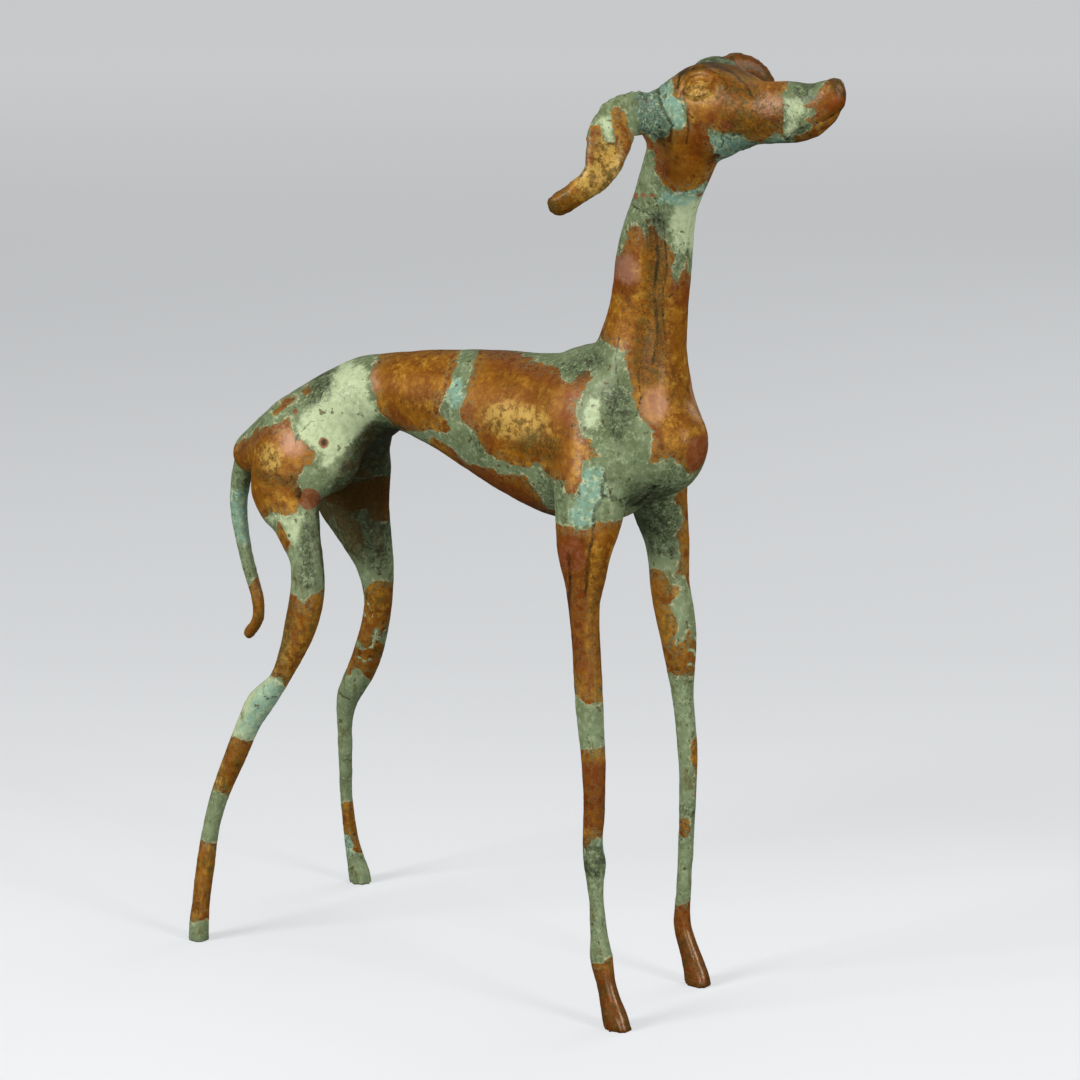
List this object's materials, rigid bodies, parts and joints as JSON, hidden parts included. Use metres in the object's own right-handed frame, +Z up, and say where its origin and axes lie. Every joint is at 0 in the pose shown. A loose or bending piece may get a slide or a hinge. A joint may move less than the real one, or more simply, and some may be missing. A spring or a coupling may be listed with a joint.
{
  "type": "greyhound sculpture",
  "caption": "Standing greyhound cast in patinated bronze, with a raised head, flung-back ears, long thin legs and a hanging tail.",
  "frame": {"origin": "on the ground under the middle of the figure's bounding box", "axes": "+X the way the dog faces, +Y its left, +Z up"},
  "size_m": [0.719, 0.2586, 0.9],
  "materials": {
    "bronze": "cast bronze under a waxed patina of mint-green verdigris, ochre and rust brown"
  },
  "bodies": {
    "root": {"greyhound": "bronze"}
  },
  "joints": []
}
